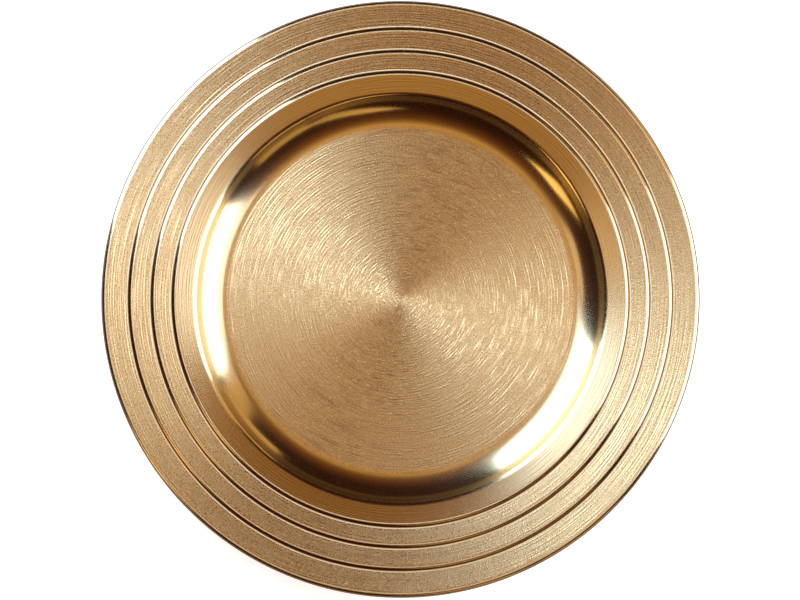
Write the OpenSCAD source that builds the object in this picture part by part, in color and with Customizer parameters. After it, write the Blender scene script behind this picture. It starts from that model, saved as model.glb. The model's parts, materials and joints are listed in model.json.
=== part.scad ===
// Round metal charger plate, pressed from one sheet, with a shallow well for a dinner plate,
// a rim of four bands that overlap like shingles, and an outer edge rolled over a wire.
// It stands on four stick-on feet. Sizes are in mm, +Z is up and the feet rest on z = 0.

/* [Plate] */
// Outside diameter over the rolled edge
plate_d = 330; // [280:1:400]
// Thickness of the pressed sheet, the same everywhere
sheet_t = 0.8; // [0.5:0.05:1.2]

/* [Well] */
// Radius of the hollow cove between the floor and the well wall
cove_r = 20; // [10:0.5:26]
// Steepest slope of the well wall, in degrees
wall_slope = 56; // [40:1:70]
// Radius of the brow where the wall rolls over into the rim
brow_r = 4; // [2:0.1:7]

/* [Rim bands] */
// Width of the outermost band, from the plate edge to the corner of the first step
outer_band_w = 15; // [9:0.5:24]
// Width of the second band, from step to step
second_band_w = 12.5; // [6:0.5:20]
// Width of the third band, from step to step
third_band_w = 11.5; // [6:0.5:20]
// Width of the innermost band, from its step to the well wall
inner_band_w = 14; // [9:0.5:24]
// Slope at which every band climbs outwards, in degrees
band_slope = 9; // [3:0.5:14]

/* [Steps] */
// Radius of the rounded shoulder that ends a band
shoulder_r = 2.2; // [1.5:0.1:3]
// Slope at which a shoulder falls to the next band, in degrees
step_slope = 60; // [40:1:80]
// Radius of the crisp corner at the bottom of a step
corner_r = 0.3; // [0.1:0.1:0.8]

/* [Rolled edge] */
// Diameter of the wire inside the rolled edge
wire_d = 3; // [2:0.1:4.5]
// Play between the wire and the sheet rolled round it
wire_play = 0.05; // [0.02:0.01:0.2]
// Gap left between the sheet's rolled-in end and the underside of the rim
roll_end_gap = 0.4; // [0.1:0.05:0.8]
// Gap between the two cut ends of the wire
wire_end_gap = 0.8; // [0.2:0.1:3]

/* [Feet] */
// Diameter of a foot where it is stuck on
foot_d = 13; // [8:0.5:20]
// Height of a foot
foot_h = 2; // [1:0.1:4]
// Draft of a foot's side, in degrees
foot_draft = 14; // [0:1:30]
// Rounding of a foot's lower rim
foot_rim_r = 0.5; // [0.2:0.1:0.8]
// Distance from the edge of the flat floor to a foot
foot_inset = 9; // [3:0.5:30]
// Thickness of the adhesive under a foot
glue_t = 0.2; // [0.1:0.05:0.5]
// Margin by which the adhesive stays inside a foot's outline
glue_margin = 0.6; // [0.2:0.1:1.5]

/* [Hidden] */
$fn = 180;

// Each bend is drawn in arcs of at most this many degrees
bend_step = 7.5;

// Heights of the floor's two faces
floor_under_z = foot_h + glue_t;
floor_z = floor_under_z + sheet_t;

// Inner and outer radius of the rolled edge, set by the wire inside it
roll_bore_r = wire_d / 2 + wire_play;
roll_r = roll_bore_r + sheet_t;

// Turn of the sheet round the wire, past three quarters and up to the gap under the rim
roll_turn = 270 + asin((roll_bore_r - roll_end_gap) / roll_r);

// Radius of the corner of each step, from the plate edge inwards
first_step_x = plate_d / 2 - outer_band_w;
second_step_x = first_step_x - second_band_w;
third_step_x = second_step_x - third_band_w;

// Radius where the wall is steepest, and of the edge of the flat floor
wall_x = third_step_x - inner_band_w;
floor_edge_x = wall_x - cove_r * sin(wall_slope);

// Radial room taken by one step, by the brow and by the rolled edge
step_run = (shoulder_r + corner_r) * (sin(step_slope) + sin(band_slope));
brow_run = brow_r * (sin(wall_slope) - sin(band_slope));
roll_run = roll_r * (1 + sin(band_slope));

// Length of a straight band that covers the radial distance x
function band_length(x) = x / cos(band_slope);

// The section runs outwards along the upper face. A station is [radius, height, heading].
function run_on(s, l) = [s[0] + l * cos(s[2]), s[1] + l * sin(s[2]), s[2]];

// A positive turn bends the sheet upwards, and a negative one downwards.
function bend_on(s, r, turn) = [
    s[0] + sign(turn) * r * (sin(s[2] + turn) - sin(s[2])),
    s[1] + sign(turn) * r * (cos(s[2]) - cos(s[2] + turn)),
    s[2] + turn
];

// A move is [length] for a straight band or [radius, turn] for a bend.
function move_on(s, m, part = 1) = len(m) == 1 ? run_on(s, m[0] * part) : bend_on(s, m[0], m[1] * part);
function move_steps(m) = len(m) == 1 ? 1 : ceil(abs(m[1]) / bend_step);
function walk(s, moves, i = 0) = i == len(moves) ? [s] : concat(
    [for (k = [0 : move_steps(moves[i]) - 1]) move_on(s, moves[i], k / move_steps(moves[i]))],
    walk(move_on(s, moves[i]), moves, i + 1)
);

shoulder = [shoulder_r, -(band_slope + step_slope)];
corner = [corner_r, band_slope + step_slope];

rim_moves = [
    [cove_r, wall_slope],
    [brow_r, band_slope - wall_slope],
    [band_length(inner_band_w - brow_run - step_run)], shoulder, corner,
    [band_length(third_band_w - step_run)], shoulder, corner,
    [band_length(second_band_w - step_run)], shoulder, corner,
    [band_length(outer_band_w - roll_run)]
];
roll_move = [roll_r, -roll_turn];

stations = walk([floor_edge_x, floor_z, 0], concat(rim_moves, [roll_move]));
rim_stations = walk([floor_edge_x, floor_z, 0], rim_moves);

// Centre of the rolled edge, one roll radius below the end of the outermost band
rim_end = rim_stations[len(rim_stations) - 1];
roll_x = rim_end[0] + roll_r * sin(rim_end[2]);
roll_z = rim_end[1] - roll_r * cos(rim_end[2]);

// Angle that the gap between the wire's ends takes up
wire_gap_angle = wire_end_gap / roll_x * 180 / PI;

// Place of the feet under the flat floor
foot_x = floor_edge_x - foot_inset - foot_d / 2;

// A foot's outline runs along its flat tip, round its lower rim and up its side
foot_tip_r = foot_d / 2 - foot_h * tan(foot_draft);
foot_moves = [
    [foot_tip_r - foot_rim_r * tan((90 - foot_draft) / 2)],
    [foot_rim_r, 90 - foot_draft],
    [(foot_h - foot_rim_r * (1 - sin(foot_draft))) / cos(foot_draft)]
];

module sheet_section() {
    upper = [for (s = stations) [s[0], s[1]]];
    lower = [for (s = stations) [s[0] + sheet_t * sin(s[2]), s[1] - sheet_t * cos(s[2])]];
    last = len(stations) - 1;
    polygon(concat(
        [[0, floor_under_z], [0, floor_z]],
        upper,
        [for (i = [last : -1 : 0]) lower[i]]
    ));
}

module plate_shell() {
    color("goldenrod")
        rotate_extrude()
            sheet_section();
}

module edge_wire() {
    color("silver")
        rotate([0, 0, wire_gap_angle / 2])
            rotate_extrude(angle = 360 - wire_gap_angle)
                translate([roll_x, roll_z])
                    circle(d = wire_d);
}

// The feet lie on the diagonals of the floor
module at_foot(i) {
    rotate([0, 0, 90 * i - 45])
        translate([foot_x, 0, 0])
            children();
}

module foot(i) {
    outline = [for (s = walk([0, 0, 0], foot_moves)) [s[0], s[1]]];
    color("dimgray")
        at_foot(i)
            rotate_extrude()
                polygon(concat(outline, [[0, foot_h]]));
}

module foot_adhesive(i) {
    color("whitesmoke")
        at_foot(i)
            translate([0, 0, foot_h])
                cylinder(d = foot_d - 2 * glue_margin, h = glue_t);
}

plate_shell();
edge_wire();
for (i = [1 : 4]) {
    foot(i);
    foot_adhesive(i);
}
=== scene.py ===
# %% [markdown]
# # A gold-tone charger plate
# A charger is the wide plate that stays on the table under a dinner plate. This one is pressed from a
# single sheet of steel, plated in a gold tone, turned against a brush on its floor and bands, and left
# polished in between. Its edge is rolled over a wire, and it stands on four small rubber feet.
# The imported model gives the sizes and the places. This script gives the sheet a smooth surface and every
# piece its finish, then sets up the studio.

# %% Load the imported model
import json
import math

import bpy
import numpy as np
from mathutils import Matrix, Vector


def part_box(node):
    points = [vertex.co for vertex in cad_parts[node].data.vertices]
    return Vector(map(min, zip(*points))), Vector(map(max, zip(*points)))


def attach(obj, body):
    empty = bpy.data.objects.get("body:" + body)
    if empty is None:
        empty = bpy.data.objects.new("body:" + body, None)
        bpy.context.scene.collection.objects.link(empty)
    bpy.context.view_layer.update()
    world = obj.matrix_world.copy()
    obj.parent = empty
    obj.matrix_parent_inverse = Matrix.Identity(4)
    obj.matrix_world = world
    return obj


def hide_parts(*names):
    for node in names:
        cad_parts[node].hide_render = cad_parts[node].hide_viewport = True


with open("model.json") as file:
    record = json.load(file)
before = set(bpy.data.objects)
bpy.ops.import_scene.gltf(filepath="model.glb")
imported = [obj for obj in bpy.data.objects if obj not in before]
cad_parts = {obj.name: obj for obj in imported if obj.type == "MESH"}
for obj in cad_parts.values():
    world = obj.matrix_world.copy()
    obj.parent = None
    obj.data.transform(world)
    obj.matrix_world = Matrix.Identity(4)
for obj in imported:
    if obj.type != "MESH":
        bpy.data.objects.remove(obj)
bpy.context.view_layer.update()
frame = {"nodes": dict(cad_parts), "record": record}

MM = 0.001

# %% [markdown]
# ## Sizes
# The solids say how wide the plate is, how thick its sheet is and where the wire runs. The shape of the
# rim in between is a chain of straight stretches and bends, so it needs only a few widths, slopes and radii.

# %% Sizes in millimetres


def box_mm(node):
    """Lowest and highest corner of a solid, rounded to a hundredth of a millimetre."""
    return [np.round(np.array(corner) / MM, 2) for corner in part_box(node)]


shell_low, shell_high = box_mm("plate_shell")
wire_low, wire_high = box_mm("edge_wire")
mounts = {mount["name"]: mount for mount in frame["record"]["mounts"]}

plate_r = shell_high[0]
floor_z = mounts["well_floor"]["pos_m"][2] / MM
sheet_t = floor_z - shell_low[2]
wire_r = (wire_high[2] - wire_low[2]) / 2
roll_r = plate_r - wire_high[0] + wire_r
roll_z = wire_low[2] + wire_r

cove_r = 20.0
brow_r = 4.0
shoulder_r = 2.2
corner_r = 0.3
wall_slope = math.radians(56)
band_slope = math.radians(9)
step_slope = math.radians(55.74)
level_w = 0.8
lift_r = 4.0
outer_band_w = 14.85
second_band_w = 12.5
third_band_w = 11.5
inner_band_w = 14.15
print(f"sheet {sheet_t:.2f}, rolled edge {roll_r:.2f} in radius, plate {plate_r:.2f} in radius")

# %% [markdown]
# ## Camera
# The photograph was taken from almost straight above: its circles are a quarter of a percent flatter than
# round, and the floor sits a little low against the rim, which both give a camera about four degrees off
# the vertical. A long lens from far away keeps the circles concentric, as they are there.

# %% Camera above the plate
PHOTO_W, PHOTO_H = 800, 600
photo_centre = (400.45, 298.8)
photo_plate_r = 299.3
camera_elevation = math.radians(86)
camera_distance = 6.0

photo_pixel = plate_r * MM / photo_plate_r
camera_data = bpy.data.cameras.new("camera")
camera_data.sensor_width = 36.0
camera_data.lens = camera_data.sensor_width * camera_distance / (photo_pixel * PHOTO_W)
camera = bpy.data.objects.new("camera", camera_data)
bpy.context.scene.collection.objects.link(camera)
bpy.context.scene.camera = camera

camera_back = np.array([0.0, -math.cos(camera_elevation), math.sin(camera_elevation)])
camera_up = np.array([0.0, math.sin(camera_elevation), math.cos(camera_elevation)])
camera_right = np.array([1.0, 0.0, 0.0])
aim = np.array([0.0, 0.0, roll_z * MM])
aim -= camera_right * (photo_centre[0] - PHOTO_W / 2) * photo_pixel
aim += camera_up * (photo_centre[1] - PHOTO_H / 2) * photo_pixel
camera.location = aim + camera_back * camera_distance
camera.rotation_euler = (math.pi / 2 - camera_elevation, 0.0, 0.0)
print(f"lens {camera_data.lens:.1f} mm, one pixel is {photo_pixel / MM:.3f} mm")

# %% [markdown]
# ## The section of the sheet
# A press bends the sheet without changing its thickness, so its section is best described the way the die
# is: walk outwards along the upper face, straight or bending, and keep the heading at every station. The
# heading gives the surface normal exactly, which a mirror-like finish needs, and the lower face is the
# same walk moved by the thickness along that normal.

# %% Stations along the section


def straight(station, length, rings):
    """Evenly spaced stations: the start plus the distance times (cos, sin) of the heading."""
    r, z, heading = station
    s = length * np.linspace(0, 1, rings + 1)
    return np.column_stack([r + s * math.cos(heading), z + s * math.sin(heading), np.full(rings + 1, heading)])


def bend(station, radius, turn, rings):
    """An arc: the heading turns evenly, and the place moves by the radius times the change of (sin, -cos)
    of the heading, forwards for an upward turn and backwards for a downward one."""
    r, z, heading = station
    side = math.copysign(radius, turn)
    headings = heading + turn * np.linspace(0, 1, rings + 1)
    return np.column_stack([
        r + side * (np.sin(headings) - math.sin(heading)),
        z + side * (math.cos(heading) - np.cos(headings)),
        headings,
    ])


def chain(station, moves):
    """Stations of a whole section: every move starts where the last one ended."""
    runs = []
    for move, *values in moves:
        run = move(station, *values)
        runs.append(run[:-1])
        station = run[-1]
    return np.vstack([*runs, station])


quarter = bend((0.0, 0.0, 0.0), 1.0, math.pi / 2, 4)[-1]
print("a quarter turn of radius 1 ends at", np.round(quarter[:2], 3))

# %% [markdown]
# At the foot of every step the sheet runs level for a moment, where the punch let go of it, and then lifts
# to the slope of the next band. Every band keeps a narrow land at both ends, where the brush doesn't reach
# into the step. The lands get rings of their own, so that the finish can change there.

# %% Moves of the press
land_w = 0.9
floor_edge_w = 6.0
step_run = shoulder_r * (math.sin(step_slope) + math.sin(band_slope)) + corner_r * math.sin(step_slope)
lift_run = level_w + lift_r * math.sin(band_slope)
brow_run = brow_r * (math.sin(wall_slope) - math.sin(band_slope))
roll_run = roll_r * (1 + math.sin(band_slope))
floor_r = plate_r - outer_band_w - second_band_w - third_band_w - inner_band_w - cove_r * math.sin(wall_slope)
band_runs = [
    inner_band_w - brow_run - step_run,
    third_band_w - step_run,
    second_band_w - step_run,
    outer_band_w - roll_run,
]
step_count = len(band_runs) - 1
roll_end_gap = 0.4
roll_turn = 1.5 * math.pi + math.asin((roll_r - sheet_t - roll_end_gap) / roll_r)


def slope_width(number):
    """A band's width along its slope: its run, less the lift at the foot of its step, over the cosine."""
    return (band_runs[number] - (lift_run if number else 0)) / math.cos(band_slope)


def sheet_moves(fine):
    """The moves from the middle of the floor to the rolled-in end, with rings in proportion to fine."""
    fall = band_slope + step_slope
    moves = [
        (straight, floor_r - floor_edge_w, 3 * fine),
        (straight, floor_edge_w, fine),
        (bend, cove_r, wall_slope, 13 * fine),
        (bend, brow_r, band_slope - wall_slope, 6 * fine),
    ]
    for number in range(len(band_runs)):
        if number:
            moves += [(straight, level_w, fine), (bend, lift_r, band_slope, 2 * fine)]
        slope_w = slope_width(number)
        moves += [(straight, land_w, fine), (straight, slope_w - 2 * land_w, 2 * fine), (straight, land_w, fine)]
        if number < step_count:
            moves += [(bend, shoulder_r, -fall, 4 * fine), (bend, corner_r, step_slope, 2 * fine)]
    return moves + [(bend, roll_r, -roll_turn, 16 * fine)]


upper = chain((0.0, floor_z, 0.0), sheet_moves(3))
lower = chain((0.0, floor_z, 0.0), sheet_moves(1))
top_z = upper[:, 1].max()
print(f"upper face has {len(upper)} rings and tops out at {top_z:.3f} mm,"
      f" {top_z - roll_z - roll_r:.3f} mm off the solid's roll")

# %% [markdown]
# The walk ends where the sheet is rolled in under the rim. A half-round end closes it there, as a
# deburred edge would, and the lower face leads back to the middle.

# %% Close the section
end = bend(upper[-1], sheet_t / 2, -math.pi, 6)[1:-1]
lower = lower[::-1]
lower_face = np.column_stack([
    lower[:, 0] + sheet_t * np.sin(lower[:, 2]),
    lower[:, 1] - sheet_t * np.cos(lower[:, 2]),
    lower[:, 2] - math.pi,
])
section = np.vstack([upper, end, lower_face])
print("whole section:", len(section), "rings")

# %% [markdown]
# ## A surface of revolution
# Turned ware is one profile carried round an axis. The grid of places is the profile times the circle, as
# whole arrays, and the two ends of the profile, on the axis, shrink to one point each. The map's first
# direction runs along the profile and its second round the axis, so that a brushed finish knows which way
# is across.

# %% Turn a profile into a mesh


def turned(name, profile, around, centre=(0.0, 0.0)):
    """A closed surface: place = (r cos a, r sin a, z) for every station and angle, in metres, with the normal
    (-sin h cos a, -sin h sin a, cos h) from the station's heading h. The first and last station lie on the axis."""
    rings = len(profile) - 2
    angle = np.linspace(0, 2 * math.pi, around, endpoint=False)
    r, z, h = profile[1:-1, :, None].transpose(1, 0, 2)
    flat = np.ones(around)
    places = np.stack([r * np.cos(angle), r * np.sin(angle), z * flat], axis=-1).reshape(-1, 3)
    normals = np.stack([-np.sin(h) * np.cos(angle), -np.sin(h) * np.sin(angle), np.cos(h) * flat], axis=-1)
    normals = normals.reshape(-1, 3)
    ends = profile[[0, -1]]
    none = np.zeros(2)
    places = np.vstack([places, np.column_stack([none, none, ends[:, 1]])]) * MM + np.array([*centre, 0.0]) * MM
    normals = np.vstack([normals, np.column_stack([none, none, np.cos(ends[:, 2])])])

    i, j = np.meshgrid(np.arange(rings - 1), np.arange(around), indexing="ij")
    k = (j + 1) % around
    quads = np.stack([i * around + j, (i + 1) * around + j, (i + 1) * around + k, i * around + k], axis=-1)
    quads = quads.reshape(-1)
    steps = np.hypot(*np.diff(profile[:, :2], axis=0).T)
    u = np.concatenate([[0], np.cumsum(steps)]) / steps.sum()
    quad_u = np.stack([u[i + 1], u[i + 2], u[i + 2], u[i + 1]], axis=-1).reshape(-1)
    quad_v = np.stack([j, j, j + 1, j + 1], axis=-1).reshape(-1) / around

    j = np.arange(around)
    k = (j + 1) % around
    tip, last = rings * around, (rings - 1) * around
    fans = np.stack([tip + 0 * j, j, k, last + j, tip + 1 + 0 * j, last + k], axis=-1).reshape(-1)
    fan_u = np.tile([0, u[1], u[1], u[-2], 1, u[-2]], around)
    fan_v = np.stack([j + 0.5, j, j + 1, j, j + 0.5, j + 1], axis=-1).reshape(-1) / around

    corners = np.concatenate([quads, fans])
    sides = np.concatenate([np.full(len(quads) // 4, 4), np.full(2 * around, 3)])
    mesh = bpy.data.meshes.new(name)
    mesh.vertices.add(len(places))
    mesh.vertices.foreach_set("co", places.astype(np.float32).reshape(-1))
    mesh.loops.add(len(corners))
    mesh.loops.foreach_set("vertex_index", corners.astype(np.int32))
    mesh.polygons.add(len(sides))
    mesh.polygons.foreach_set("loop_start", (np.cumsum(sides) - sides).astype(np.int32))
    mesh.polygons.foreach_set("use_smooth", np.ones(len(sides), bool))
    mesh.update(calc_edges=True)
    mesh.validate()
    uv = np.column_stack([np.concatenate([quad_u, fan_u]), np.concatenate([quad_v, fan_v])])
    mesh.uv_layers.new(name="OFBake").data.foreach_set("uv", uv.astype(np.float32).reshape(-1))
    mesh.normals_split_custom_set_from_vertices(normals)
    piece = bpy.data.objects.new(name, mesh)
    bpy.context.scene.collection.objects.link(piece)
    print(f"{name}: {len(places)} vertices, {len(sides)} faces")
    return piece


PLATE_AROUND = 256
plate = turned("charger_plate", section, PLATE_AROUND)
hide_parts("plate_shell")
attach(plate, "root")

# %% [markdown]
# ## Where it is brushed
# The floor and the bands were turned against a brush, while the cove, the rounded shoulders and the rolled
# edge are smooth. One number along the section, from 0 for polished to 1 for brushed, lets one plating
# change from one to the other without a seam. The innermost band is only lightly brushed.
# A second number marks the floor, whose brush was led by hand and wandered. A third is a painted highlight:
# pale, dull, less metallic lines on the crests of the steps and on the level foot of each step, drawn where
# bright reflections show. A fourth is painted shade: brown in the steep fall and corner of each step, on the
# wall of the well, on the rolled edge and faintly underneath, drawn where the dark room would be mirrored.

# %% Brushed and swirled stretches, painted highlight and painted shade
count = len(upper)
walked = np.concatenate([[0], np.cumsum(np.hypot(*np.diff(upper[:, :2], axis=0).T))])
cove_at = floor_r
brow_at = cove_at + cove_r * wall_slope
band_at = brow_at + brow_r * (wall_slope - band_slope)
step_length = shoulder_r * (band_slope + step_slope) + corner_r * step_slope
# Painted shade: the brown starts where the shoulder of a step turns steep enough to mirror the dark room
painted_shade_from, painted_shade_full = (shoulder_r * (band_slope + math.radians(tilt)) for tilt in (31, 42))
band_lengths = [slope_width(number) + (level_w + lift_r * band_slope if number else 0)
                for number in range(len(band_runs))]
# How brushed the underside is, how much painted shade it gets, and how brushed the innermost band is
under_brush, under_painted_shade, inner_brush = 0.45, 0.1, 0.25
swirl_fade_w = 6.0
# Every knot is a distance along the section, in millimetres, and the amount there
brush_knots = [(0, 1), (cove_at - 1.5, 1), (cove_at + 2.5, 0), (band_at - 1.2, 0), (band_at + 0.5, 0.15)]
# Painted highlight: where the pale, dull lines lie on the crests and the feet of the steps
painted_highlight_knots = [(0, 0)]
# Painted shade: where the brown lies on the wall of the well, in the steps and on the rolled edge
painted_shade_knots = [(0, 0), (cove_at + 11, 0), (cove_at + 14, 0.4), (brow_at, 0.4), (brow_at + 1.5, 0)]
for number, band_length in enumerate(band_lengths):
    first, last = band_at, band_at + band_length
    if number:
        brush_knots += [(first, 0), (first + level_w, 0.1), (first + level_w + lift_r * band_slope, 1)]
        # The level foot of a step gets a painted highlight
        painted_highlight_knots += [(first + 0.25, 0), (first + 0.45, 0.85), (first + 0.85, 0.85), (first + 1.1, 0)]
    else:
        brush_knots += [(first + 6, 0.22)]
    most = 1.0 if number else inner_brush
    brush_knots += [(last - land_w, most), (last, 0.5 * most), (last + 0.4, 0)]
    # The crest of a step gets a painted highlight
    painted_highlight_knots += [(last + 0.1, 0), (last + 0.4, 0.6), (last + 0.7, 0.4), (last + 1.0, 0)]
    band_at = last + step_length
    if number < step_count:
        # The steep fall and the corner of a step get painted shade
        painted_shade_knots += [(last + painted_shade_from, 0), (last + painted_shade_full, 1), (band_at - 0.05, 1), (band_at + 0.2, 0)]
# The rolled edge gets painted shade, and the underside a little of it
painted_shade_knots += [(last + roll_r * math.radians(tilt), amount)
               for tilt, amount in ((45, 0), (58, 1), (125, 1), (170, under_painted_shade))]


def ring_attribute(piece, name, values, around):
    """Stores one number for every ring of a turned piece, repeated round the axis."""
    per_vertex = np.concatenate([np.repeat(values[1:-1], around), values[[0, -1]]])
    attribute = piece.data.attributes.new(name, "FLOAT", "POINT")
    attribute.data.foreach_set("value", per_vertex.astype(np.float32))


below = np.ones(len(section) - count)
brush = np.interp(walked, *np.transpose(brush_knots))
swirl = np.interp(walked, [cove_at, cove_at + swirl_fade_w], [1, 0])
painted_highlight = np.interp(walked, *np.transpose(painted_highlight_knots))
painted_shade = np.interp(walked, *np.transpose(painted_shade_knots))
for name, values, value_below in (
        ("brush", brush, under_brush), ("swirl", swirl, 0.0), ("painted_highlight", painted_highlight, 0.0), ("painted_shade", painted_shade, under_painted_shade)):
    ring_attribute(plate, name, np.concatenate([values, value_below * below]), PLATE_AROUND)
print(f"{(brush > 0.5).sum()} of {count} rings on the upper face are brushed, {(painted_shade > 0.5).sum()} carry film")

# %% [markdown]
# ## Feet
# Stick-on feet are moulded in rubber: a flat top that takes the adhesive, a side with some draft so that
# it leaves the mould, and a rounded lower rim. The outline is a walk again, from the middle of the top down
# to the middle of the tip, and it is turned like the plate. The rim that meets the table is scuffed.

# %% Turn the feet
FOOT_AROUND = 72
foot_draft = math.radians(14)
foot_rim_r = 0.5
foot_edge_r = 0.12

foot_low, foot_high = box_mm("foot_1")
foot_h = foot_high[2]
foot_r = (foot_high[0] - foot_low[0]) / 2
tip_r = foot_r - foot_h * math.tan(foot_draft)
edge_turn, rim_turn = math.pi / 2 + foot_draft, math.pi / 2 - foot_draft
edge_cut, rim_cut = foot_edge_r * math.tan(edge_turn / 2), foot_rim_r * math.tan(rim_turn / 2)
foot_outline = chain((0.0, foot_h, 0.0), [
    (straight, foot_r - edge_cut, 3),
    (bend, foot_edge_r, -edge_turn, 4),
    (straight, foot_h / math.cos(foot_draft) - edge_cut - rim_cut, 5),
    (bend, foot_rim_r, -rim_turn, 8),
    (straight, tip_r - rim_cut, 4),
])
foot_scuff = np.interp(foot_outline[:, 1], [0.0, 0.3, 1.0], [0.8, 1.0, 0.0])
feet = []
for number in range(1, 5):
    low, high = box_mm(f"foot_{number}")
    foot = turned(f"rubber_foot_{number}", foot_outline, FOOT_AROUND, (low + high)[:2] / 2)
    ring_attribute(foot, "scuff", foot_scuff, FOOT_AROUND)
    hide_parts(f"foot_{number}")
    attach(foot, "root")
    feet.append(foot)
print(f"foot {2 * foot_r:.1f} across and {foot_h:.1f} high, on a tip {2 * tip_r:.1f} across")

# %% [markdown]
# ## Materials
# Colours are written as the hex values one would read off a screen, and one function turns them into the
# linear numbers that a shader wants. One more function adds a node, sets it and links it.

# %% Helpers for materials
# Noise seldom leaves this range
NOISE_LOW, NOISE_HIGH = 0.3, 0.7


def linear(code):
    """An sRGB hex colour as linear red, green, blue and alpha."""
    value = np.array([int(code[i:i + 2], 16) for i in (1, 3, 5)]) / 255
    value = np.where(value <= 0.04045, value / 12.92, ((value + 0.055) / 1.055) ** 2.4)
    return (*value, 1.0)


def add(tree, kind, settings=None, inputs=None):
    """Adds a node, sets its properties, and fills its inputs with values or with links. A node given as an
    input stands for its first output."""
    node = tree.nodes.new(kind)
    for name, value in (settings or {}).items():
        setattr(node, name, value)
    for key, value in (inputs or {}).items():
        if isinstance(value, bpy.types.Node):
            value = value.outputs[0]
        if isinstance(value, bpy.types.NodeSocket):
            tree.links.new(value, node.inputs[key])
        else:
            node.inputs[key].default_value = value
    return node


def new_material(name):
    """An empty material with its node tree."""
    material = bpy.data.materials.new(name)
    material.use_nodes = True
    material.node_tree.nodes.clear()
    return material, material.node_tree


print("mid grey #808080 is", round(linear("#808080")[0], 3), "as a linear value")

# %% [markdown]
# ### Gold-tone plating
# Plating is far thinner than the marks in the steel under it, so it shows them all. A brush held against the
# turning plate leaves arcs, thin across and long round the axis. Real ones lie a few hundredths of a
# millimetre apart, too fine for a picture of the whole plate, so they are drawn nearly a millimetre apart.
# A noise that is read slowly by direction and quickly by distance from the axis gives such arcs. Three
# layers of them have centres that differ a little on the floor, where the brush was led by hand.

# %% Strokes of the brush
stroke_layers = [
    {"centre": (-0.5, 0.5), "pitch": 0.85, "turns": 4.0, "share": 1.0, "seed": 3.0},
    {"centre": (2.5, 1.0), "pitch": 0.75, "turns": 5.5, "share": 0.9, "seed": 17.0},
    {"centre": (-2.0, -2.4), "pitch": 0.95, "turns": 7.0, "share": 0.8, "seed": 41.0},
]
stroke_least, stroke_w = 0.8, 0.6
faint_at, strong_at = 0.35, 0.65
gold, tree = new_material("gold_tone_plating_brushed_and_polished")
coords = add(tree, "ShaderNodeTexCoord")
place = add(tree, "ShaderNodeVectorMath", {"operation": "SCALE"}, {0: coords.outputs["Object"], "Scale": 1 / MM})
brushed, swirled, painted_highlight_mask, painted_shade_mask = (
    add(tree, "ShaderNodeAttribute", {"attribute_name": name}).outputs["Fac"]
    for name in ("brush", "swirl", "painted_highlight", "painted_shade"))
lines, outward, across = None, None, None
for layer in stroke_layers:
    shift = add(tree, "ShaderNodeVectorMath", {"operation": "SCALE"}, {0: (*layer["centre"], 0.0), "Scale": swirled})
    arm = add(tree, "ShaderNodeVectorMath", {"operation": "SUBTRACT"}, {0: place, 1: shift})
    arm = add(tree, "ShaderNodeVectorMath", {"operation": "MULTIPLY"}, {0: arm, 1: (1.0, 1.0, 0.0)})
    reach = add(tree, "ShaderNodeVectorMath", {"operation": "LENGTH"}, {0: arm}).outputs["Value"]
    away = add(tree, "ShaderNodeVectorMath", {"operation": "NORMALIZE"}, {0: arm})
    level = add(tree, "ShaderNodeMath", {"operation": "MULTIPLY"}, {0: reach, 1: 1 / layer["pitch"]})
    level = add(tree, "ShaderNodeCombineXYZ", inputs={"X": layer["seed"], "Y": -layer["seed"], "Z": level})
    stroke = add(tree, "ShaderNodeVectorMath", {"operation": "MULTIPLY_ADD"},
                 {0: away, 1: (layer["turns"], layer["turns"], 0.0), 2: level})
    beside = add(tree, "ShaderNodeVectorMath", {"operation": "ADD"}, {0: stroke, 1: (0.0, 0.0, stroke_w)})
    stroke, beside = (add(tree, "ShaderNodeTexNoise", inputs={"Vector": at, "Scale": 1.0, "Detail": 0.0})
                      for at in (stroke, beside))
    parts = add(tree, "ShaderNodeSeparateColor", inputs={0: stroke.outputs["Color"]})
    other = add(tree, "ShaderNodeSeparateColor", inputs={0: beside.outputs["Color"]})
    weight = add(tree, "ShaderNodeMapRange", inputs={
        "Value": parts.outputs["Green"], "From Min": faint_at, "From Max": strong_at,
        "To Min": stroke_least * layer["share"], "To Max": layer["share"]})
    line = add(tree, "ShaderNodeMath", {"operation": "SUBTRACT"}, {0: parts.outputs["Red"], 1: other.outputs["Red"]})
    line = add(tree, "ShaderNodeMath", {"operation": "MULTIPLY"}, {0: line, 1: weight})
    push = add(tree, "ShaderNodeVectorMath", {"operation": "SCALE"}, {0: away, "Scale": weight})
    if lines is None:
        lines, across, outward = line, push, away
    else:
        lines = add(tree, "ShaderNodeMath", {"operation": "ADD"}, {0: lines, 1: line})
        across = add(tree, "ShaderNodeVectorMath", {"operation": "ADD"}, {0: across, 1: push})
print(len(stroke_layers), "layers of strokes,", [layer["pitch"] for layer in stroke_layers], "mm apart")

# %% [markdown]
# A stroke is a groove with a ridge beside it: the noise at one radius less the noise a little further out.
# The sheet has a faint grain of its own, as rolled steel does. Both are scaled by how brushed the place is,
# so that polished stretches stay smooth.

# %% Relief of the strokes and of the sheet
stroke_depth = 0.09
grain_size, grain_depth = 0.6, 0.10
relief = add(tree, "ShaderNodeMath", {"operation": "MULTIPLY"}, {0: lines, 1: stroke_depth})
grain = add(tree, "ShaderNodeTexNoise", inputs={"Vector": place, "Scale": 1 / grain_size, "Detail": 1.0})
relief = add(tree, "ShaderNodeMath", {"operation": "MULTIPLY_ADD"}, {0: grain, 1: grain_depth, 2: relief})
relief = add(tree, "ShaderNodeMath", {"operation": "MULTIPLY"}, {0: relief, 1: brushed})
bump = add(tree, "ShaderNodeBump", inputs={"Strength": 1.0, "Distance": MM, "Height": relief})
print(f"strokes {stroke_depth} mm deep, grain {grain_size} mm wide and {grain_depth} mm deep")
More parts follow.
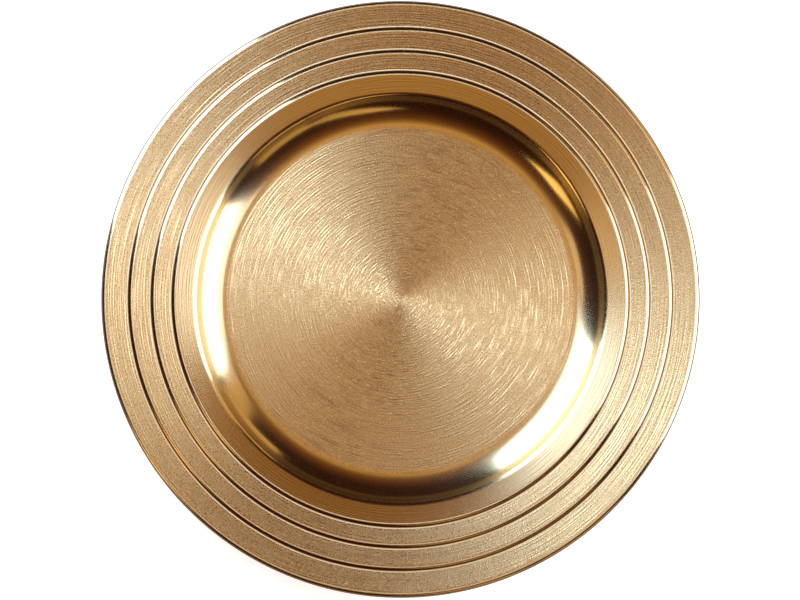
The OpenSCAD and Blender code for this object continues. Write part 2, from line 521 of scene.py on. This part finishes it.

# %% [markdown]
# The colour drifts between a pale and a deep tone in slow rings, as the pressure on the brush varied, and a
# little with every stroke. A painted highlight makes it pale, dull and less of a metal on the crests and feet
# of the steps, and painted shade makes it brown in the steps, the well and the rolled edge. The
# strokes stretch reflections across themselves, which draws the bright fans on the floor.

# %% Colour and gloss of the plating
plating_pale, plating_deep = linear("#EAD4A6"), linear("#C6A06A")
# The pale colour is a painted highlight, and the brown one is painted shade
painted_highlight_pale, painted_shade_brown = linear("#F5DFBB"), linear("#6B4C2C")
polished_tone, tone_least, tone_most, stroke_tone = 0.8, 0.47, 0.53, 0.35
polished_dull, brushed_dull, painted_highlight_dull = 0.16, 0.295, 0.3
grain_dull = 0.40
tone_ring_w, tone_turns = 3.5, 1.3
ring = add(tree, "ShaderNodeVectorMath", {"operation": "LENGTH"}, {0: place}).outputs["Value"]
ring = add(tree, "ShaderNodeMath", {"operation": "MULTIPLY"}, {0: ring, 1: 1 / tone_ring_w})
ring = add(tree, "ShaderNodeCombineXYZ", inputs={"Z": ring})
ring = add(tree, "ShaderNodeVectorMath", {"operation": "MULTIPLY_ADD"},
           {0: outward, 1: (tone_turns, tone_turns, 0.0), 2: ring})
press = add(tree, "ShaderNodeTexNoise", inputs={"Vector": ring, "Scale": 1.0, "Detail": 1.0})
tone = add(tree, "ShaderNodeMapRange", inputs={
    "Value": press, "From Min": NOISE_LOW, "From Max": NOISE_HIGH, "To Min": tone_least, "To Max": tone_most})
tone = add(tree, "ShaderNodeMath", {"operation": "MULTIPLY_ADD"}, {0: lines, 1: stroke_tone, 2: tone})
tone = add(tree, "ShaderNodeMix", {"data_type": "FLOAT"}, {0: brushed, 2: polished_tone, 3: tone})
colour = add(tree, "ShaderNodeMix", {"data_type": "RGBA"}, {0: tone, 6: plating_deep, 7: plating_pale}).outputs[2]
# Painted highlight: pale where its mask is high
colour = add(tree, "ShaderNodeMix", {"data_type": "RGBA"}, {0: painted_highlight_mask, 6: colour, 7: painted_highlight_pale}).outputs[2]
# Painted shade: brown where its mask is high
colour = add(tree, "ShaderNodeMix", {"data_type": "RGBA"}, {0: painted_shade_mask, 6: colour, 7: painted_shade_brown}).outputs[2]
marks = add(tree, "ShaderNodeMath", {"operation": "MULTIPLY_ADD"},
            {0: grain, 1: grain_dull, 2: brushed_dull - grain_dull / 2})
dull = add(tree, "ShaderNodeMix", {"data_type": "FLOAT"}, {0: brushed, 2: polished_dull, 3: marks})
# Where the highlight is painted, the plating is also duller and less of a metal
dull = add(tree, "ShaderNodeMath", {"operation": "MULTIPLY_ADD"}, {0: painted_highlight_mask, 1: painted_highlight_dull, 2: dull})
metal = add(tree, "ShaderNodeMath", {"operation": "SUBTRACT"}, {0: 1.0, 1: painted_highlight_mask})
shader = add(tree, "ShaderNodeBsdfPrincipled", inputs={
    "Base Color": colour, "Metallic": metal, "Roughness": dull, "Anisotropic": 0.6,
    "Tangent": across, "Normal": bump})
add(tree, "ShaderNodeOutputMaterial", inputs={"Surface": shader})
plate.data.materials.append(gold)
print("material:", gold.name, "with", len(tree.nodes), "nodes")

# %% [markdown]
# ### Matt moulded rubber
# Black rubber looks dark grey and dull, with the fine grain of a spark-eroded mould. Handling leaves paler
# smears on it, and the rim that rubs on the table turns grey. The grain is drawn at a quarter of a
# millimetre, coarser than real, so that it shows.

# %% Rubber
grain_w, smear_w = 0.25, 3.0
rubber_dark, rubber_pale, rubber_scuffed = linear("#161617"), linear("#2A2A2A"), linear("#56534E")
rubber, tree = new_material("matt_black_moulded_rubber")
coords = add(tree, "ShaderNodeTexCoord")
place = add(tree, "ShaderNodeVectorMath", {"operation": "SCALE"}, {0: coords.outputs["Object"], "Scale": 1 / MM})
scuffed = add(tree, "ShaderNodeAttribute", {"attribute_name": "scuff"}).outputs["Fac"]
grain = add(tree, "ShaderNodeTexNoise", inputs={"Vector": place, "Scale": 1 / grain_w, "Detail": 2.0})
smear = add(tree, "ShaderNodeTexNoise", inputs={
    "Vector": place, "Scale": 1 / smear_w, "Detail": 3.0, "Distortion": 0.6})
worn = add(tree, "ShaderNodeMath", {"operation": "MULTIPLY"}, {0: scuffed, 1: smear})
worn = add(tree, "ShaderNodeMapRange", inputs={
    "Value": worn, "From Min": 0.25, "From Max": 0.65, "To Min": 0.0, "To Max": 1.0})
shade = add(tree, "ShaderNodeMix", {"data_type": "RGBA"}, {0: smear, 6: rubber_dark, 7: rubber_pale}).outputs[2]
shade = add(tree, "ShaderNodeMix", {"data_type": "RGBA"}, {0: worn, 6: shade, 7: rubber_scuffed}).outputs[2]
dull = add(tree, "ShaderNodeMapRange", inputs={
    "Value": smear, "From Min": NOISE_LOW, "From Max": NOISE_HIGH, "To Min": 0.58, "To Max": 0.82})
bump = add(tree, "ShaderNodeBump", inputs={"Strength": 0.5, "Distance": 0.03 * MM, "Height": grain})
shader = add(tree, "ShaderNodeBsdfPrincipled", inputs={
    "Base Color": shade, "Roughness": dull, "Specular IOR Level": 0.35, "Normal": bump})
add(tree, "ShaderNodeOutputMaterial", inputs={"Surface": shader})
for foot in feet:
    foot.data.materials.append(rubber)
print("material:", rubber.name, "on", len(feet), "feet")

# %% [markdown]
# ### Drawn steel wire
# The wire inside the rolled edge only shows through the slit under the rim. Drawing it through a die leaves
# fine scratches along its length, so the pattern is long round the axis and short across the wire. They are
# drawn a fifth of a millimetre apart, coarser than real.

# %% Wire
scratch_w, scratch_turns, tarnish_w = 0.2, 20.0, 6.0
steel_dark, steel_pale, steel_tarnished = linear("#8C8D90"), linear("#CFCFD1"), linear("#6F655A")
steel, tree = new_material("drawn_steel_wire")
coords = add(tree, "ShaderNodeTexCoord")
place = add(tree, "ShaderNodeVectorMath", {"operation": "SCALE"}, {0: coords.outputs["Object"], "Scale": 1 / MM})
flat = add(tree, "ShaderNodeVectorMath", {"operation": "MULTIPLY"}, {0: place, 1: (1.0, 1.0, 0.0)})
away = add(tree, "ShaderNodeVectorMath", {"operation": "NORMALIZE"}, {0: flat})
reach = add(tree, "ShaderNodeVectorMath", {"operation": "LENGTH"}, {0: flat}).outputs["Value"]
level = add(tree, "ShaderNodeSeparateXYZ", inputs={0: place}).outputs["Z"]
level = add(tree, "ShaderNodeMath", {"operation": "MULTIPLY"}, {0: level, 1: 1 / scratch_w})
level = add(tree, "ShaderNodeCombineXYZ", inputs={"Z": level})
length = add(tree, "ShaderNodeVectorMath", {"operation": "MULTIPLY_ADD"},
             {0: away, 1: (scratch_turns, scratch_turns, 0.0), 2: level})
depth = add(tree, "ShaderNodeMath", {"operation": "MULTIPLY"}, {0: reach, 1: 1 / scratch_w})
scratch = add(tree, "ShaderNodeTexNoise", {"noise_dimensions": "4D"},
              {"Vector": length, "W": depth, "Scale": 1.0, "Detail": 2.0})
stain = add(tree, "ShaderNodeTexNoise", inputs={"Vector": place, "Scale": 1 / tarnish_w, "Detail": 3.0})
shade = add(tree, "ShaderNodeMix", {"data_type": "RGBA"}, {0: scratch, 6: steel_dark, 7: steel_pale}).outputs[2]
tarnish = add(tree, "ShaderNodeMapRange", inputs={
    "Value": stain, "From Min": 0.5, "From Max": 0.7, "To Min": 0.0, "To Max": 0.5})
shade = add(tree, "ShaderNodeMix", {"data_type": "RGBA"}, {0: tarnish, 6: shade, 7: steel_tarnished}).outputs[2]
dull = add(tree, "ShaderNodeMapRange", inputs={
    "Value": stain, "From Min": NOISE_LOW, "From Max": NOISE_HIGH, "To Min": 0.28, "To Max": 0.48})
bump = add(tree, "ShaderNodeBump", inputs={"Strength": 0.5, "Distance": 0.02 * MM, "Height": scratch})
shader = add(tree, "ShaderNodeBsdfPrincipled", inputs={
    "Base Color": shade, "Metallic": 1.0, "Roughness": dull, "Normal": bump})
add(tree, "ShaderNodeOutputMaterial", inputs={"Surface": shader})
print("material:", steel.name, "with", len(tree.nodes), "nodes")

# %% [markdown]
# ### Pressure-sensitive adhesive
# The disc between a foot and the plate is a soft acrylic foam: off-white, dull, and full of tiny cells that
# make its cut edge look pitted. It yellows in patches. The cells are drawn a little coarser than real.

# %% Adhesive
cell_w, patch_w = 0.3, 2.5
foam_pale, foam_yellow = linear("#EFEADB"), linear("#D2C5A4")
foam, tree = new_material("acrylic_foam_adhesive")
coords = add(tree, "ShaderNodeTexCoord")
place = add(tree, "ShaderNodeVectorMath", {"operation": "SCALE"}, {0: coords.outputs["Object"], "Scale": 1 / MM})
cells = add(tree, "ShaderNodeTexVoronoi", inputs={"Vector": place, "Scale": 1 / cell_w})
patch = add(tree, "ShaderNodeTexNoise", inputs={"Vector": place, "Scale": 1 / patch_w, "Detail": 2.0})
shade = add(tree, "ShaderNodeMix", {"data_type": "RGBA"}, {0: patch, 6: foam_pale, 7: foam_yellow}).outputs[2]
dull = add(tree, "ShaderNodeMapRange", inputs={
    "Value": patch, "From Min": NOISE_LOW, "From Max": NOISE_HIGH, "To Min": 0.5, "To Max": 0.7})
bump = add(tree, "ShaderNodeBump", inputs={"Strength": 0.6, "Distance": 0.04 * MM, "Height": cells})
shader = add(tree, "ShaderNodeBsdfPrincipled", inputs={"Base Color": shade, "Roughness": dull, "Normal": bump})
add(tree, "ShaderNodeOutputMaterial", inputs={"Surface": shader})
print("material:", foam.name, "with", len(tree.nodes), "nodes")

# %% [markdown]
# The wire and the adhesive keep the shape of their solids, which is exact for a round wire and a flat disc.
# Only their finish changes.

# %% Finishes on the solids that stay
for node, material in [("edge_wire", steel)] + [(f"foot_adhesive_{number}", foam) for number in range(1, 5)]:
    for material_slot in frame["nodes"][node].material_slots:
        material_slot.material = material
    print(node, "is shown in", material.name)

# %% [markdown]
# ## Studio
# Polished metal shows the room, so the room is most of the picture. The plate lies on a plain white table.
# The table shines a little by itself for the eye and for reflections, so that it reads as white paper and
# still takes a soft shadow. From below it is clear, so that the underside can be looked at.

# %% Table
table_half = 30.0
table_glow, table_paint = 0.82, linear("#C4C4C4")
table_data = bpy.data.meshes.new("table")
table_data.from_pydata(
    [(x * table_half, y * table_half, 0) for x, y in ((-1, -1), (1, -1), (1, 1), (-1, 1))],
    [], [(0, 1, 2, 3)])
table = bpy.data.objects.new("table", table_data)
bpy.context.scene.collection.objects.link(table)

white, tree = new_material("white_table")
path = add(tree, "ShaderNodeLightPath")
seen = add(tree, "ShaderNodeMath", {"operation": "MAXIMUM"},
           {0: path.outputs["Is Camera Ray"], 1: path.outputs["Is Glossy Ray"]})
seen = add(tree, "ShaderNodeMath", {"operation": "MAXIMUM"}, {0: seen, 1: path.outputs["Is Transmission Ray"]})
glow = add(tree, "ShaderNodeMath", {"operation": "MULTIPLY"}, {0: seen, 1: table_glow})
paint = add(tree, "ShaderNodeBsdfDiffuse", inputs={"Color": table_paint})
lit = add(tree, "ShaderNodeEmission", inputs={"Strength": glow})
both = add(tree, "ShaderNodeAddShader", inputs={0: paint, 1: lit})
side = add(tree, "ShaderNodeNewGeometry")
clear = add(tree, "ShaderNodeBsdfTransparent")
top_only = add(tree, "ShaderNodeMixShader", inputs={0: side.outputs["Backfacing"], 1: both, 2: clear})
add(tree, "ShaderNodeOutputMaterial", inputs={"Surface": top_only})
table.data.materials.append(white)
print(f"table {2 * table_half:.0f} m across, shining at {table_glow}")

# %% [markdown]
# ### Lamps and boards
# A tall softbox stands close behind on the left and a wider one on the right. Each is made of rows that get
# dimmer upwards, as a cloth front does away from its tube. Gold-tone reflector boards around the table give
# the warm glints in the wall of the well. Every lamp is given by the radiance that the plate sees, which
# stays the same wherever the lamp stands.

# %% Softboxes and boards
daylight = (0.80, 1.05, 1.40)
windowlight = (0.88, 0.97, 1.12)
lamplight = (1.0, 0.66, 0.24)


def panel(name, azimuth, width, low, high, radiance, colour, lean=0.0, distance=1.0):
    """An upright lamp panel facing the plate. A panel of area A that shines evenly gives off pi times its
    radiance times A."""
    data = bpy.data.lights.new(name, "AREA")
    data.shape = "RECTANGLE"
    data.size, data.size_y = width, high - low
    data.energy = math.pi * radiance * width * (high - low)
    data.color = colour
    lamp = bpy.data.objects.new(name, data)
    turn = math.radians(azimuth)
    lamp.location = (distance * math.cos(turn), distance * math.sin(turn), (low + high) / 2)
    lamp.rotation_euler = (math.pi / 2, math.radians(lean), turn + math.pi / 2)
    lamp.visible_camera = False
    bpy.context.scene.collection.objects.link(lamp)
    print(f"{name}: {width:.2f} by {high - low:.2f} m, {data.energy:.1f} W")


def softbox(name, azimuth, half_angle, distance, rows, colour):
    """A softbox in rows from one elevation to another, as seen from the plate, each with its own radiance."""
    width = 2 * distance * math.tan(math.radians(half_angle))
    for number, (low, high, radiance) in enumerate(rows, 1):
        bottom, top = (distance * math.tan(math.radians(elevation)) for elevation in (low, high))
        panel(f"{name}_{number}", azimuth, width, bottom, top, radiance, colour, distance=distance)


# Azimuth and half angle in degrees, distance in metres, and rows: from and to elevation, and radiance
softbox("softbox_back_left", 140, 22, 0.42, [(2, 64, 5.0), (64, 72, 3.0), (72, 79, 1.5)], daylight)
softbox("softbox_right", 1, 26, 0.6, [(2, 54, 4.2), (54, 63, 2.8), (63, 77, 1.8)], windowlight)
# Azimuth in degrees, width, lower and upper edge in metres, and radiance
panel("board_front_left", -148, 0.24, 0.25, 0.91, 1.8, lamplight, lean=18)
panel("board_front", -74, 0.24, 0.12, 0.85, 0.8, lamplight, lean=-35)
panel("board_front_right", -50, 0.34, 0.04, 0.38, 0.8, lamplight)
panel("board_right", 35, 0.24, 0.40, 2.4, 0.6, lamplight)
panel("board_right_low", 42, 0.44, 0.04, 0.38, 0.9, lamplight)
panel("board_left", 182, 0.30, 1.25, 3.0, 0.7, (1.0, 0.82, 0.55), distance=0.7)

# %% [markdown]
# ### The room
# The rest of the room is dark and warm. It is nearly black towards the walls and a dim amber overhead, which
# the level floor of the plate mirrors. The light rises with the sine of the elevation, in a few stops.

# %% Room
world = bpy.data.worlds.new("studio")
world.use_nodes = True
bpy.context.scene.world = world
tree = world.node_tree
tree.nodes.clear()
way_out = add(tree, "ShaderNodeTexCoord").outputs["Generated"]
way = add(tree, "ShaderNodeSeparateXYZ", inputs={0: way_out})
room = [(35, (0.03, 0.008, 0.003)), (45, (0.057, 0.016, 0.004)), (58, (0.12, 0.035, 0.006)),
        (66, (0.17, 0.07, 0.014)), (74, (0.31, 0.16, 0.045)), (80, (0.57, 0.315, 0.09)), (87, (0.67, 0.40, 0.13))]
air = add(tree, "ShaderNodeValToRGB", inputs={0: way.outputs["Z"]})
ramp = air.color_ramp.elements
for number, (elevation, colour) in enumerate(room):
    stop = ramp[number] if number < 2 else ramp.new(1.0)
    stop.position = math.sin(math.radians(elevation))
    stop.color = (*colour, 1.0)
air = add(tree, "ShaderNodeBackground", inputs={"Color": air, "Strength": 1.0})
add(tree, "ShaderNodeOutputWorld", inputs={"Surface": air})
bpy.context.scene.view_settings.view_transform = "Standard"
print("room in", len(room), "stops, from", room[0][0], "to", room[-1][0], "degrees up")
